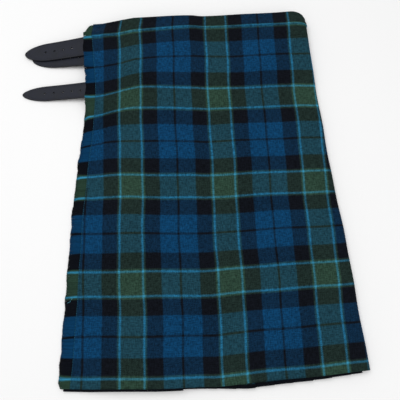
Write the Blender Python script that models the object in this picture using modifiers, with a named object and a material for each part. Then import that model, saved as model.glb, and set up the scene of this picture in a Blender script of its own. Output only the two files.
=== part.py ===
"""A tartan kilt lying flat with its over-apron on top.

Metres, +Z up, X across the kilt and +Y toward its waist. Every panel is worked out in the cloth's
own coordinates: x across, and drop, the distance down the cloth from the waist edge. One cloth wall
turns from panel to panel: the over-apron rounds the right-hand fold to the pleated back, and the
back turns up at the left into the under-apron, which is folded in half between the other two.
"""

import math
from collections import namedtuple

import bmesh
import bpy
import numpy as np
from mathutils import Vector

# Thicknesses and clearances
CLOTH = 0.0011
GAP = 0.0003
LAYER = CLOTH + GAP
LEATHER = 0.0024
STRAP_CLEARANCE = 0.0004
STRAP_ROOM = LEATHER + 2 * STRAP_CLEARANCE - GAP

# The cloth, down from the waist edge
LENGTH = 0.606
WAISTBAND = 0.0245
BACK_TOP = 0.006
BACK_HEM = 0.6085
UNDER_HEM = 0.6095

# The outline, a row for each level down the cloth
Section = namedtuple("Section", "drop left fringe right sag sag_from rise")
SECTIONS = (
    Section(0.000, -0.1975, 0.0150, 0.1860, 0.0105, 0.000, 0.0110),
    Section(0.025, -0.1985, 0.0150, 0.1870, 0.0165, 0.000, 0.0090),
    Section(0.060, -0.1975, 0.0155, 0.1895, 0.0175, -0.030, 0.0080),
    Section(0.110, -0.1945, 0.0160, 0.1920, 0.0170, -0.070, 0.0070),
    Section(0.180, -0.1965, 0.0165, 0.1950, 0.0130, -0.120, 0.0070),
    Section(0.260, -0.2048, 0.0170, 0.1995, 0.0040, -0.150, 0.0075),
    Section(0.340, -0.2128, 0.0175, 0.2065, 0.0000, -0.100, 0.0110),
    Section(0.440, -0.2172, 0.0180, 0.2128, 0.0030, -0.020, 0.0170),
    Section(0.520, -0.2226, 0.0185, 0.2180, 0.0030, -0.020, 0.0200),
    Section(0.616, -0.2288, 0.0190, 0.2235, 0.0035, -0.020, 0.0240),
)
ROW_LEAN = 0.0444
BACK_RISES_FROM = 0.048
HEM_SPREAD_FROM = 0.440
CORNER_WIDTH = 0.026
CORNER_FALL = 0.022
CORNER_FADE = 0.045
TUFT_TOP = 0.020
TUFT_HEM = 0.016

# The folds at the sides
TUCK = 0.010
SEAM_INSET = 0.014
APRON_TAIL = 0.020
HALF_APRON = 0.171

# The knife pleats
PLEATS = 14
PLEAT_DEPTH = 0.040
PLEAT_FLAT = 0.007
INNER_FOLD_INSET = 0.012

# What lies under the cloth and raises it
HIP_LIFT = 0.0047
HIP_REACH = 0.112
HIP_SKIRT = 0.030
HIP_SPREAD = 0.025
HIP_FADE = 0.063
HIP_TOP = 0.022
HIP_BASE_LEFT = 0.147
HIP_BASE_RIGHT = 0.086
STACK_CLEARANCE = 0.0006
BESIDE_FOLD = 0.003
BESIDE_SLOPE = 0.024
ROOT_REACH = 0.034
ROOT_SKIRT = 0.030
ROOT_LENGTH = 0.030

Strap = namedtuple("Strap", "name drop width tip_x tilt tip_height lift_from lift_to holes first_hole")
STRAPS = (
    Strap("strap_waist", 0.0408, 0.0365, -0.3013, 3.6, 0.0042, 0.020, 0.065, 4, 0.0363),
    Strap("strap_hip", 0.1230, 0.0292, -0.3025, 0.0, 0.0012, 0.105, 0.147, 5, 0.0385),
    Strap("strap_under", 0.0583, 0.0340, -0.2885, -0.7, 0.0012, 0.020, 0.086, 4, 0.0355),
)
STRAP_SKIRT = 0.020
HOLE_PITCH = 0.0155
HOLE_RADIUS = 0.0016
STRAP_TAPER = 0.87
TIP_LENGTH = 0.042
TIP_FULLNESS = 1.12
TIP_STEPS = 7
STRAP_STATIONS = 8

Buckle = namedtuple("Buckle", "name side drop")
BUCKLES = (
    Buckle("buckle_waist_right", -1, 0.049),
    Buckle("buckle_hip_right", -1, 0.122),
    Buckle("buckle_waist_left", 1, 0.049),
)
BUCKLE_INSET = 0.042
FRAME_LENGTH = 0.026
FRAME_WIDTH = 0.041
FRAME_CORNER = 0.006
FRAME_BAR = 0.0038
FRAME_THICKNESS = 0.0025
PRONG_WIDTH = 0.003
PRONG_THICKNESS = 0.0015
TAB_LENGTH = 0.042
TAB_WIDTH = 0.032

# Rows down the cloth, closer together over the straps and buckles
APRON_ROWS = (0, 0.0125, 0.022, 0.045, 0.065, 0.086, 0.105, 0.125, 0.147, 0.172,
              0.210, 0.260, 0.320, 0.380, 0.440, 0.500, 0.560, 0.590)
BACK_ROWS = (0.0125, 0.022, 0.045, 0.065, 0.086, 0.105, 0.125, 0.147, 0.172,
             0.210, 0.260, 0.380, 0.440, 0.500)


def smooth(t):
    """0 to 1 with level ends."""
    t = min(max(t, 0.0), 1.0)
    return t * t * (3 - 2 * t)


def ramp(t):
    """0 to 1 in a straight line, so that panels with points at its ends stay parallel."""
    return min(max(t, 0.0), 1.0)


def plateau(value, low, high, skirt, fade=None):
    """1 between low and high, falling to 0 over the skirt below low and the fade above high."""
    fade = fade or skirt
    return ramp((value - low + skirt) / skirt) * ramp((high + fade - value) / fade)


def outline(column, drop):
    """A column of SECTIONS at any level, through a smooth curve of its rows."""
    drops = np.array([row.drop for row in SECTIONS])
    values = np.array([getattr(row, column) for row in SECTIONS])
    slopes = np.gradient(values, drops)
    i = int(np.clip(np.searchsorted(drops, drop) - 1, 0, len(drops) - 2))
    span = drops[i + 1] - drops[i]
    t = (drop - drops[i]) / span
    near = (1 + 2 * t) * values[i] + t * span * slopes[i]
    far = (3 - 2 * t) * values[i + 1] - (1 - t) * span * slopes[i + 1]
    return float((1 - t) ** 2 * near + t**2 * far)


def left(drop):
    return outline("left", drop)


def right(drop):
    return outline("right", drop)


def seam(drop):
    """Where the back ends and the under-apron's turned edge begins."""
    return left(drop) + TUCK + SEAM_INSET


def under_fold(drop):
    """The fold that halves the under-apron."""
    return left(drop) + TUCK + HALF_APRON


def reveal(drop):
    """The width of each pleat that shows."""
    return (right(drop) - SEAM_INSET - seam(drop)) / (PLEATS + 1)


def fall(x, drop, rises_from=0.0):
    """How far a point of a cross row lies toward the hem of a straight row."""
    sag_from = outline("sag_from", drop)
    sag = outline("sag", drop) * smooth((sag_from - x) / (sag_from - left(drop)))
    start = rises_from * smooth((drop - HEM_SPREAD_FROM) / (LENGTH - HEM_SPREAD_FROM))
    climb = max(0.0, (x - start) / (right(drop) - start))
    turn = min(max((x - right(drop) + CORNER_WIDTH) / CORNER_WIDTH, 0.0), 0.93)
    corner = CORNER_FALL * (1 - math.sqrt(1 - turn**2)) * max(0.0, 1 - drop / CORNER_FADE) ** 1.5
    return sag + ROW_LEAN * x - outline("rise", drop) * climb + corner


def pleat_height(beyond, drop):
    """The underside of a pleat's face, this far beyond its outer fold."""
    slope = 2 * LAYER / (reveal(drop) - PLEAT_FLAT)
    return slope * max(0.0, beyond - PLEAT_FLAT)


def band_lift(drop):
    """How far the waistband under the back raises it."""
    return LAYER * ramp((0.048 - drop) / 0.018)


def hip_lift(drop, base):
    """How far the buckles down to this base raise the cloth at a hip."""
    return HIP_LIFT * plateau(drop, HIP_TOP, base, HIP_TOP, HIP_FADE)


def lift(x, drop, narrower=0.0):
    """How far the waistband and the buckles under the back raise it.

    The waistband below the back takes a narrower raised part, so that it clears the straight
    runs between the pleats' points.
    """
    reach = HIP_REACH - narrower + HIP_SKIRT
    across_left = ramp((left(drop) + reach - x) / HIP_SKIRT)
    across_right = ramp((x - right(drop) + reach) / HIP_SKIRT)
    return max(band_lift(drop), hip_lift(drop, HIP_BASE_LEFT) * across_left,
               hip_lift(drop, HIP_BASE_RIGHT) * across_right)


def hips(drop):
    """The places between which the panels above the back span from hip to hip."""
    reach = HIP_REACH + HIP_SPREAD
    return left(drop) + reach, right(drop) - reach


def spanned_lift(x, drop):
    """The same for the panels above the back, which run straight across between the hips."""
    low, high = hips(drop)
    share = ramp((x - low) / (high - low))
    on_left, on_right = hip_lift(drop, HIP_BASE_LEFT), hip_lift(drop, HIP_BASE_RIGHT)
    return max(band_lift(drop), on_left + (on_right - on_left) * share)


def strap_lift(strap, x, drop):
    """How far a strap's hidden root raises the layer on top of it."""
    across = ramp((left(drop) + ROOT_REACH + ROOT_SKIRT - x) / ROOT_SKIRT)
    return STRAP_ROOM * across * plateau(drop, strap.lift_from, strap.lift_to, STRAP_SKIRT)


def lower_half(x, drop):
    """The middle of the under-apron's half that lies on the pleats' stack."""
    beyond = min(max(0.0, x - seam(drop)), reveal(drop) + PLEAT_DEPTH)
    stack = pleat_height(beyond, drop) + CLOTH + GAP + STACK_CLEARANCE
    return spanned_lift(x, drop) + stack + CLOTH / 2


def upper_half(x, drop):
    """The middle of the under-apron's half that carries its free edge."""
    return lower_half(x, drop) + LAYER + strap_lift(STRAPS[2], x, drop)


def apron_height(x, drop):
    """The middle of the over-apron's cloth."""
    beside = ramp((x - under_fold(drop) - BESIDE_FOLD) / BESIDE_SLOPE)
    on_under = upper_half(x, drop) + LAYER
    on_back = lower_half(x, drop)
    straps = strap_lift(STRAPS[0], x, drop) + strap_lift(STRAPS[1], x, drop)
    return on_under + (on_back - on_under) * beside + straps


def left_knots(drop):
    """The places near the left edge where the panels' height turns."""
    edge = left(drop)
    return [seam(drop), seam(drop) + PLEAT_FLAT, edge + ROOT_REACH, edge + ROOT_REACH + ROOT_SKIRT,
            seam(drop) + reveal(drop) + PLEAT_DEPTH, hips(drop)[0]]


def over_apron_path(drop, out=0.0):
    """(x, z) along the over-apron at one level, moved outward by out, with its turn to the back."""
    start = left(drop) + outline("fringe", drop)
    edge = right(drop) - CLOTH / 2
    base = CLOTH / 2 + lift(edge, drop)
    radius = (apron_height(edge, drop) - base) / 2
    turn = edge - radius
    beside = under_fold(drop) + BESIDE_FOLD
    hip = hips(drop)[1]
    across = [start] + left_knots(drop) + [beside, beside + BESIDE_SLOPE]
    across += list(np.linspace(hip, turn, 6))
    points = [(x, apron_height(x, drop) + out) for x in across]
    for step in range(1, 6):
        angle = math.pi / 2 - math.pi * step / 6
        reach = radius + out
        points.append((turn + reach * math.cos(angle), base + radius + reach * math.sin(angle)))
    points.append((turn, base - out))
    points.append((right(drop) - APRON_TAIL, base - out))
    return points


def under_apron_path(drop):
    """(x, z) from the seam, up round the left fold, across, and back over itself."""
    tail = CLOTH / 2 + lift(left(drop) + TUCK, drop)
    fold_left = left(drop) + TUCK + CLOTH / 2
    fold_right = under_fold(drop)
    out = [fold_left] + left_knots(drop) + [fold_right]
    points = [(seam(drop) - GAP, tail), (fold_left, tail)]
    points += [(x, lower_half(x, drop)) for x in out]
    points += [(x, upper_half(x, drop)) for x in out[::-1]]
    return points


def pleated_path(drop):
    """(x, z) along the zigzag of the knife pleats, from the right-hand seam to the left-hand one."""
    width = reveal(drop)
    start = right(drop) - SEAM_INSET
    farthest = right(drop) - INNER_FOLD_INSET
    middle = CLOTH / 2
    points = [(start, pleat_height(width, drop) + middle)]
    for number in range(1, PLEATS + 1):
        fold = start - number * width
        inner = min(fold + PLEAT_DEPTH, farthest)
        returned = pleat_height(inner - fold, drop) + LAYER
        onward = pleat_height(inner - fold + width, drop)
        heights = ((fold + PLEAT_FLAT, 0.0), (fold, 0.0), (fold, LAYER),
                   (fold + PLEAT_FLAT, LAYER), (inner, returned), (inner, onward))
        points += [(x, z + middle) for x, z in heights]
    points += [(seam(drop) + PLEAT_FLAT, middle), (seam(drop), middle)]
    return [(x, z + lift(x, drop)) for x, z in points]


def waistband_back_path(drop):
    """(x, z) of the strip on the back's outside, made from the back's own height."""
    places = np.linspace(seam(drop) + 0.002, right(drop) - APRON_TAIL - 0.002, 24)
    return [(x, lift(x, drop, HIP_SPREAD) + CLOTH / 2 - LAYER) for x in places]


def tuft(drop):
    """The share of the fringe's reach at a level: its two ends are rounded."""
    top = min(1.0, (drop + 0.001) / TUFT_TOP)
    hem = min(1.0, (LENGTH - drop + 0.003) / TUFT_HEM)
    return math.sqrt(1 - (1 - top) ** 2) * math.sqrt(1 - (1 - hem) ** 2)


def fringe_path(drop):
    """(x, z) from the apron's edge out to the fringe's tips, which droop unless a strap is below."""
    reach = outline("fringe", drop) - GAP
    inner = left(drop) + reach
    points = []
    for share in (0.0, 1 - (TUCK - 3 * GAP) / reach, 1 - 0.5 * TUCK / reach, 1.0):
        x = inner - share * reach * tuft(drop)
        held = max(plateau(drop, strap.lift_from, strap.lift_to, STRAP_SKIRT) for strap in STRAPS)
        droop = smooth((left(drop) + TUCK - 3 * GAP - x) / TUCK) * (1 - held)
        height = apron_height(x, drop)
        points.append((x, height + (CLOTH / 2 + 0.0002 - height) * droop))
    return points


def material(name, colour, roughness, metallic=0.0):
    made = bpy.data.materials.new(name)
    made.use_nodes = True
    shader = made.node_tree.nodes["Principled BSDF"]
    shader.inputs["Base Color"].default_value = (*colour, 1)
    shader.inputs["Roughness"].default_value = roughness
    shader.inputs["Metallic"].default_value = metallic
    return made


def add(name, data, parts, root, colour, roughness, metallic=0.0):
    """A named object for one sub-part, in the kilt's collection and under its empty."""
    made = bpy.data.objects.new(name, data)
    data.materials.append(material(name, colour, roughness, metallic))
    parts.objects.link(made)
    made.parent = root
    return made


def cloth(name, path, drops, parts, root, colour, rises_from=0.0):
    """A wall of cloth through its paths at each level: an open sheet made solid.

    Its triangles lean the same way whichever way a path runs, so stacked panels stay parallel.
    """
    paths = [path(drop) for drop in drops]
    count = len(paths[0])
    points = [
        (x, -(drop + fall(x, drop, rises_from)), z)
        for drop, row in zip(drops, paths)
        for x, z in row
    ]
    faces = []
    for i in range(len(drops) - 1):
        for j in range(count - 1):
            near, far = i * count + j, i * count + j + 1
            below_near, below_far = near + count, far + count
            if points[far][0] >= points[near][0]:
                faces += [(near, far, below_far), (near, below_far, below_near)]
            else:
                faces += [(near, far, below_near), (far, below_far, below_near)]
    mesh = bpy.data.meshes.new(name)
    mesh.from_pydata(points, [], faces)
    made = add(name, mesh, parts, root, colour, 0.9)
    solidify = made.modifiers.new("Thickness", "SOLIDIFY")
    solidify.thickness = CLOTH
    solidify.offset = 0.0
    solidify.use_even_offset = True
    mesh.shade_smooth()
    mesh.set_sharp_from_angle(angle=math.radians(40))
    return made


def arc(centre, radius, start, end, steps):
    """Points round part of a circle, angles in degrees."""
    angles = np.radians(np.linspace(start, end, steps + 1))
    return [(centre[0] + radius * math.cos(a), centre[1] + radius * math.sin(a)) for a in angles]


def rounded_box(x0, x1, half, radius):
    """A rectangle about y = 0 with round corners."""
    corners = ((x1 - radius, half - radius, 0), (x0 + radius, half - radius, 90),
               (x0 + radius, radius - half, 180), (x1 - radius, radius - half, 270))
    return [p for x, y, a in corners for p in arc((x, y), radius, a, a + 90, 4)]


def flat_curve(name, outlines, thickness):
    """A filled 2D curve: the first outline is the edge and the others are holes in it."""
    curve = bpy.data.curves.new(name, "CURVE")
    curve.dimensions = "2D"
    curve.fill_mode = "BOTH"
    curve.extrude = thickness / 2
    for points in outlines:
        spline = curve.splines.new("POLY")
        spline.points.add(len(points) - 1)
        for point, (x, y) in zip(spline.points, points):
            point.co = (x, y, 0, 1)
        spline.use_cyclic_u = True
    return curve


def strap_half(strap, along, length):
    """Half the strap's width, which narrows a little toward the tip."""
    return strap.width / 2 * (1 - (1 - STRAP_TAPER) * along / length)


def strap_outline(strap, length):
    """The strap along +X from its root, with a long rounded point."""
    shoulder = length - TIP_LENGTH
    side = [(0.0, strap_half(strap, 0.0, length))]
    for angle in np.linspace(math.pi / 2, 0.0, TIP_STEPS + 1):
        along = shoulder + TIP_LENGTH * math.cos(angle)
        half = strap_half(strap, along, length) * math.sin(angle) ** TIP_FULLNESS
        side.append((along, half))
    return [(x, -y) for x, y in side[:-1]] + side[::-1]


def strap_height(strap, x):
    """The middle of the strap's leather at a place across the kilt."""
    edge = left(strap.drop)
    own_layer = upper_half if strap.name == "strap_under" else apron_height
    sunk = CLOTH / 2 + STRAP_CLEARANCE + LEATHER / 2
    if x >= edge:
        return own_layer(x, strap.drop) - sunk
    share = min((edge - x) / (edge - strap.tip_x), 1.0)
    start = own_layer(edge, strap.drop) - sunk
    return strap.tip_height + (start - strap.tip_height) * (1 - share) ** 1.6


def build_strap(strap, parts, root):
    """A leather strap, punched along its middle, bent down from the cloth to the surface."""
    edge = left(strap.drop)
    length = edge + ROOT_LENGTH - strap.tip_x
    centres = [length - strap.first_hole - number * HOLE_PITCH for number in range(strap.holes)]
    holes = [arc((x, 0), HOLE_RADIUS, 0, 315, 7) for x in centres]
    curve = flat_curve(strap.name + "_outline", [strap_outline(strap, length)] + holes, LEATHER)
    guide = bpy.data.objects.new(curve.name, curve)
    bpy.context.scene.collection.objects.link(guide)
    evaluated = guide.evaluated_get(bpy.context.evaluated_depsgraph_get())
    mesh = bpy.data.meshes.new_from_object(evaluated)
    bpy.data.objects.remove(guide)
    mesh.name = strap.name
    shaped = bmesh.new()
    shaped.from_mesh(mesh)
    bmesh.ops.remove_doubles(shaped, verts=shaped.verts, dist=0.00001)
    for station in range(1, STRAP_STATIONS):
        everything = shaped.verts[:] + shaped.edges[:] + shaped.faces[:]
        at = (length * station / STRAP_STATIONS, 0, 0)
        bmesh.ops.bisect_plane(shaped, geom=everything, plane_co=at, plane_no=(1, 0, 0), dist=0.00001)
    tilt = math.radians(strap.tilt)
    pivot = Vector((edge, -(strap.drop + fall(edge, strap.drop))))
    for vertex in shaped.verts:
        along = vertex.co.x - ROOT_LENGTH
        x = pivot.x - along * math.cos(tilt) - vertex.co.y * math.sin(tilt)
        y = pivot.y - along * math.sin(tilt) + vertex.co.y * math.cos(tilt)
        vertex.co = (x, y, vertex.co.z + strap_height(strap, edge - along))
    bmesh.ops.recalc_face_normals(shaped, faces=shaped.faces)
    shaped.to_mesh(mesh)
    shaped.free()
    mesh.materials.clear()
    add(strap.name, mesh, parts, root, (0.028, 0.030, 0.040), 0.55)


def build_buckle(buckle, parts, root):
    """A buckle lying on its face: frame with a bar, prong across its window, and leather tab."""
    if buckle.side < 0:
        outer = left(buckle.drop) + BUCKLE_INSET
    else:
        outer = right(buckle.drop) - BUCKLE_INSET
    y = -(buckle.drop + fall(outer, buckle.drop, BACK_RISES_FROM))
    half = FRAME_LENGTH / 2
    inside = FRAME_WIDTH / 2 - FRAME_BAR
    bar = half - 2.4 * FRAME_BAR
    window = rounded_box(-half + FRAME_BAR, bar, inside, 0.0025)
    slot = rounded_box(bar + FRAME_BAR * 0.7, half - FRAME_BAR * 0.6, inside, 0.0010)
    frame_shape = [rounded_box(-half, half, FRAME_WIDTH / 2, FRAME_CORNER), window, slot]
    prong_shape = rounded_box(-half - 0.0008, bar, PRONG_WIDTH / 2, 0.0012)
    tab_start = half + GAP
    tab_shape = rounded_box(tab_start, tab_start + TAB_LENGTH, TAB_WIDTH / 2, 0.0040)
    frame_bottom = PRONG_THICKNESS + GAP
    steel = (0.62, 0.61, 0.58)
    pieces = (
        ("frame", frame_shape, FRAME_THICKNESS, frame_bottom, steel, 0.3, 1.0),
        ("prong", [prong_shape], PRONG_THICKNESS, 0.0, steel, 0.3, 1.0),
        ("tab", [tab_shape], LEATHER, frame_bottom, (0.028, 0.030, 0.040), 0.55, 0.0),
    )
    for kind, shape, thickness, bottom, colour, roughness, metallic in pieces:
        name = f"{buckle.name}_{kind}"
        made = add(name, flat_curve(name, shape, thickness), parts, root, colour, roughness, metallic)
        made.location = (outer, y, bottom + thickness / 2)
        if buckle.side > 0:
            made.rotation_euler.z = math.pi


def centre_on_origin(parts, root):
    """Moves the kilt so that its bounding box stands centred on the origin."""
    graph = bpy.context.evaluated_depsgraph_get()
    sheets = [made.evaluated_get(graph) for made in parts.objects if made.type == "MESH"]
    places = np.array([vertex.co for made in sheets for vertex in made.data.vertices])
    low, high = places.min(axis=0), places.max(axis=0)
    root.location = (-(low[0] + high[0]) / 2, -(low[1] + high[1]) / 2, 0)


def main():
    for old in list(bpy.data.objects):
        bpy.data.objects.remove(old)
    parts = bpy.data.collections.new("kilt")
    bpy.context.scene.collection.children.link(parts)
    root = bpy.data.objects.new("kilt_origin", None)
    parts.objects.link(root)

    tartan = (0.022, 0.070, 0.115)
    apron_drops = list(APRON_ROWS) + [LENGTH]
    fringe_drops = [0.0, 0.005] + list(APRON_ROWS[1:]) + [0.600, LENGTH]
    under_drops = [BACK_TOP] + list(APRON_ROWS[1:-1]) + [UNDER_HEM]
    back_drops = [BACK_TOP] + list(BACK_ROWS) + [BACK_HEM]
    band_drops = list(APRON_ROWS[:3]) + [WAISTBAND]
    back_band_drops = [BACK_TOP] + list(BACK_ROWS[:2]) + [WAISTBAND]

    cloth("over_apron", over_apron_path, apron_drops, parts, root, tartan)
    cloth("fringe", fringe_path, fringe_drops, parts, root, (0.03, 0.07, 0.08))
    cloth("waistband_front", lambda drop: over_apron_path(drop, LAYER), band_drops, parts, root,
          (0.015, 0.035, 0.055))
    cloth("under_apron", under_apron_path, under_drops, parts, root, tartan)
    cloth("pleated_back", pleated_path, back_drops, parts, root, tartan,
          rises_from=BACK_RISES_FROM)
    cloth("waistband_back", waistband_back_path, back_band_drops, parts, root,
          (0.015, 0.035, 0.055), rises_from=BACK_RISES_FROM)
    for strap in STRAPS:
        build_strap(strap, parts, root)
    for buckle in BUCKLES:
        build_buckle(buckle, parts, root)
    centre_on_origin(parts, root)


main()
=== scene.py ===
"""The looks of a tartan kilt lying flat with its over-apron on top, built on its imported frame.

Every panel is worked out in the cloth's own coordinates, as its solid is: x across the kilt, and
drop, the distance down the cloth from the waist edge. Metres, +Z up.
"""

import math
import random
from collections import namedtuple

import bmesh
import bpy
import numpy as np
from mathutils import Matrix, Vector


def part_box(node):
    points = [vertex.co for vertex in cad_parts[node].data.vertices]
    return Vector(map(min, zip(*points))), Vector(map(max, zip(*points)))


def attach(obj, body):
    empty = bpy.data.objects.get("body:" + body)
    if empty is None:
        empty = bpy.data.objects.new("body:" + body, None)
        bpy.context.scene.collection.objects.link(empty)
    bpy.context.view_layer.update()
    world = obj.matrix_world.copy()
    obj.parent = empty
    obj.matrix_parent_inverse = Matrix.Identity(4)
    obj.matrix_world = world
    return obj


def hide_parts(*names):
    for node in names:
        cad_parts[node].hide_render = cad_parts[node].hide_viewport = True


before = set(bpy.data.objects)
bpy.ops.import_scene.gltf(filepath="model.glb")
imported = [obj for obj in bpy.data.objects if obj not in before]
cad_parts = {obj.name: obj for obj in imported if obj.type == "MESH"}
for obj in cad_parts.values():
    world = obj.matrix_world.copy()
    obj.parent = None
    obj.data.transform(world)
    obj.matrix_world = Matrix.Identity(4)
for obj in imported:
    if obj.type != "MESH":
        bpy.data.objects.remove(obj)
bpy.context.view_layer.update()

# Thicknesses and clearances, as in the solids
CLOTH = 0.0011
GAP = 0.0003
LAYER = CLOTH + GAP
LEATHER = 0.0024
STRAP_CLEARANCE = 0.0004
STRAP_ROOM = LEATHER + 2 * STRAP_CLEARANCE - GAP

# The cloth, down from the waist edge
LENGTH = 0.606
WAISTBAND = 0.0245
BACK_TOP = 0.006
BACK_HEM = 0.6085
UNDER_HEM = 0.6095

# The outline, a row for each level down the cloth
Section = namedtuple("Section", "drop left fringe right sag sag_from rise")
SECTIONS = (
    Section(0.000, -0.1975, 0.0150, 0.1860, 0.0105, 0.000, 0.0110),
    Section(0.025, -0.1985, 0.0150, 0.1870, 0.0165, 0.000, 0.0090),
    Section(0.060, -0.1975, 0.0155, 0.1895, 0.0175, -0.030, 0.0080),
    Section(0.110, -0.1945, 0.0160, 0.1920, 0.0170, -0.070, 0.0070),
    Section(0.180, -0.1965, 0.0165, 0.1950, 0.0130, -0.120, 0.0070),
    Section(0.260, -0.2048, 0.0170, 0.1995, 0.0040, -0.150, 0.0075),
    Section(0.340, -0.2128, 0.0175, 0.2065, 0.0000, -0.100, 0.0110),
    Section(0.440, -0.2172, 0.0180, 0.2128, 0.0030, -0.020, 0.0170),
    Section(0.520, -0.2226, 0.0185, 0.2180, 0.0030, -0.020, 0.0200),
    Section(0.616, -0.2288, 0.0190, 0.2235, 0.0035, -0.020, 0.0240),
)
ROW_LEAN = 0.0444
BACK_RISES_FROM = 0.048
HEM_SPREAD_FROM = 0.440
CORNER_WIDTH = 0.026
CORNER_FALL = 0.022
CORNER_FADE = 0.045
TUFT_TOP = 0.020
TUFT_HEM = 0.016

# The folds at the sides and the knife pleats
TUCK = 0.010
SEAM_INSET = 0.014
APRON_TAIL = 0.020
HALF_APRON = 0.171
PLEATS = 14
PLEAT_DEPTH = 0.040
PLEAT_FLAT = 0.007
INNER_FOLD_INSET = 0.012

# What lies under the cloth and raises it
HIP_LIFT = 0.0047
HIP_REACH = 0.112
HIP_SKIRT = 0.030
HIP_SPREAD = 0.025
HIP_FADE = 0.063
HIP_TOP = 0.022
HIP_BASE_LEFT = 0.147
HIP_BASE_RIGHT = 0.086
STACK_CLEARANCE = 0.0006
BESIDE_FOLD = 0.003
BESIDE_SLOPE = 0.024
ROOT_REACH = 0.034
ROOT_SKIRT = 0.030
ROOT_LENGTH = 0.030

Strap = namedtuple("Strap", "name drop width tip_x tilt tip_height lift_from lift_to holes first_hole")
STRAPS = (
    Strap("strap_waist", 0.0408, 0.0365, -0.3013, 3.6, 0.0042, 0.020, 0.065, 4, 0.0363),
    Strap("strap_hip", 0.1230, 0.0292, -0.3025, 0.0, 0.0012, 0.105, 0.147, 5, 0.0385),
    Strap("strap_under", 0.0583, 0.0340, -0.2885, -0.7, 0.0012, 0.020, 0.086, 4, 0.0355),
)
STRAP_SKIRT = 0.020
HOLE_PITCH = 0.0155
HOLE_RADIUS = 0.0016
STRAP_TAPER = 0.87
TIP_LENGTH = 0.042
TIP_FULLNESS = 1.12
TIP_STEPS = 24
STRAP_STATIONS = 40
LEATHER_EDGE = 0.0004

Buckle = namedtuple("Buckle", "name side drop")
BUCKLES = (
    Buckle("buckle_waist_right", -1, 0.049),
    Buckle("buckle_hip_right", -1, 0.122),
    Buckle("buckle_waist_left", 1, 0.049),
)
BUCKLE_INSET = 0.042
FRAME_LENGTH = 0.026
FRAME_WIDTH = 0.041
FRAME_CORNER = 0.006
FRAME_BAR = 0.0038
FRAME_THICKNESS = 0.0025
PRONG_WIDTH = 0.003
PRONG_THICKNESS = 0.0015
TAB_LENGTH = 0.042
TAB_WIDTH = 0.032

# How finely the cloth is made
APRON_COLUMNS = 126
APRON_ROWS = 170
PLEAT_ROWS = 90
UNDER_ROWS = 110
TURN_STEPS = 10

# The check: the two ways have the same sett, mirrored about the middle of the green and the
# thin black line in the blue. Each stripe ends this far from the middle of the green.
WEFT_REPEAT = 0.1512
WARP_REPEAT = 0.1472
WEFT_GREEN = 0.1571
WARP_GREEN = 0.0288
WARP_EASE = 0.0030
SETT = (
    ("green", 0.0165),
    ("light_blue", 0.0198),
    ("green", 0.0224),
    ("black", 0.0462),
    ("blue", 0.0740),
    ("black", 0.0759),
)
STRIPE_BLUR = 0.0009
TWILL_REPEAT = 0.0023
TWILL_SHARE = 0.20
TWILL_RELIEF = 0.00022
# How deep the band of painted shade is along the hems of the under-apron and the pleated back, drawn as black
# weft
HEM_SHADE_DEPTH = 0.0055
BAND_EDGE = 0.0032
YARNS = {
    "green": (41, 64, 52),
    "light_blue": (50, 133, 166),
    "black": (12, 15, 22),
    "blue": (9, 57, 93),
}

# Soft creases that the cloth keeps: from one place to another, how wide and how high
Crease = namedtuple("Crease", "x drop to_x to_drop width height")
CREASES = (
    Crease(-0.175, 0.235, -0.105, 0.060, 0.012, 0.0011),
    Crease(-0.150, 0.330, -0.050, 0.120, 0.017, -0.0009),
    Crease(-0.120, 0.610, -0.138, 0.400, 0.018, 0.0010),
    Crease(-0.182, 0.440, -0.168, 0.320, 0.010, 0.0012),
    Crease(0.055, 0.600, 0.020, 0.330, 0.020, 0.0010),
    Crease(0.120, 0.620, 0.152, 0.380, 0.016, -0.0009),
    Crease(0.150, 0.060, 0.172, 0.300, 0.012, 0.0010),
    Crease(-0.030, 0.040, 0.070, 0.160, 0.019, 0.0009),
    Crease(0.090, 0.240, 0.010, 0.210, 0.015, -0.0007),
)
CREASED_FROM = 0.010

random.seed(7)


# ---- The cloth's form, the same as its solids ----


def smooth(t):
    """0 to 1 with level ends."""
    t = np.clip(t, 0.0, 1.0)
    return t * t * (3 - 2 * t)


def plateau(value, low, high, skirt, fade=None):
    """1 between low and high, falling to 0 over the skirt below low and the fade above high."""
    fade = fade or skirt
    return smooth((value - low + skirt) / skirt) * smooth((high + fade - value) / fade)


SECTION_ROWS = np.array(SECTIONS)
SECTION_SLOPES = np.gradient(SECTION_ROWS, SECTION_ROWS[:, 0], axis=0)


def section(drop):
    """The outline at any level, through a smooth curve of its rows."""
    drops = SECTION_ROWS[:, 0]
    i = int(np.clip(np.searchsorted(drops, drop) - 1, 0, len(drops) - 2))
    span = drops[i + 1] - drops[i]
    t = (drop - drops[i]) / span
    near = (1 + 2 * t) * SECTION_ROWS[i] + t * span * SECTION_SLOPES[i]
    far = (3 - 2 * t) * SECTION_ROWS[i + 1] - (1 - t) * span * SECTION_SLOPES[i + 1]
    return Section(*((1 - t) ** 2 * near + t**2 * far))._replace(drop=drop)


def seam(at):
    """Where the back ends and the under-apron's turned edge begins."""
    return at.left + TUCK + SEAM_INSET


def under_fold(at):
    """The fold that halves the under-apron."""
    return at.left + TUCK + HALF_APRON


def reveal(at):
    """The width of each pleat that shows."""
    return (at.right - SEAM_INSET - seam(at)) / (PLEATS + 1)


def fall(x, at, rises_from=0.0):
    """How far the points of a cross row lie toward the hem of a straight row."""
    sag = at.sag * smooth((at.sag_from - x) / (at.sag_from - at.left))
    start = rises_from * smooth((at.drop - HEM_SPREAD_FROM) / (LENGTH - HEM_SPREAD_FROM))
    climb = np.maximum(0.0, (x - start) / (at.right - start))
    turn = np.clip((x - at.right + CORNER_WIDTH) / CORNER_WIDTH, 0.0, 0.93)
    fade = max(0.0, 1 - max(at.drop, 0.0) / CORNER_FADE) ** 1.5
    return sag + ROW_LEAN * x - at.rise * climb + CORNER_FALL * (1 - np.sqrt(1 - turn**2)) * fade


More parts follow.
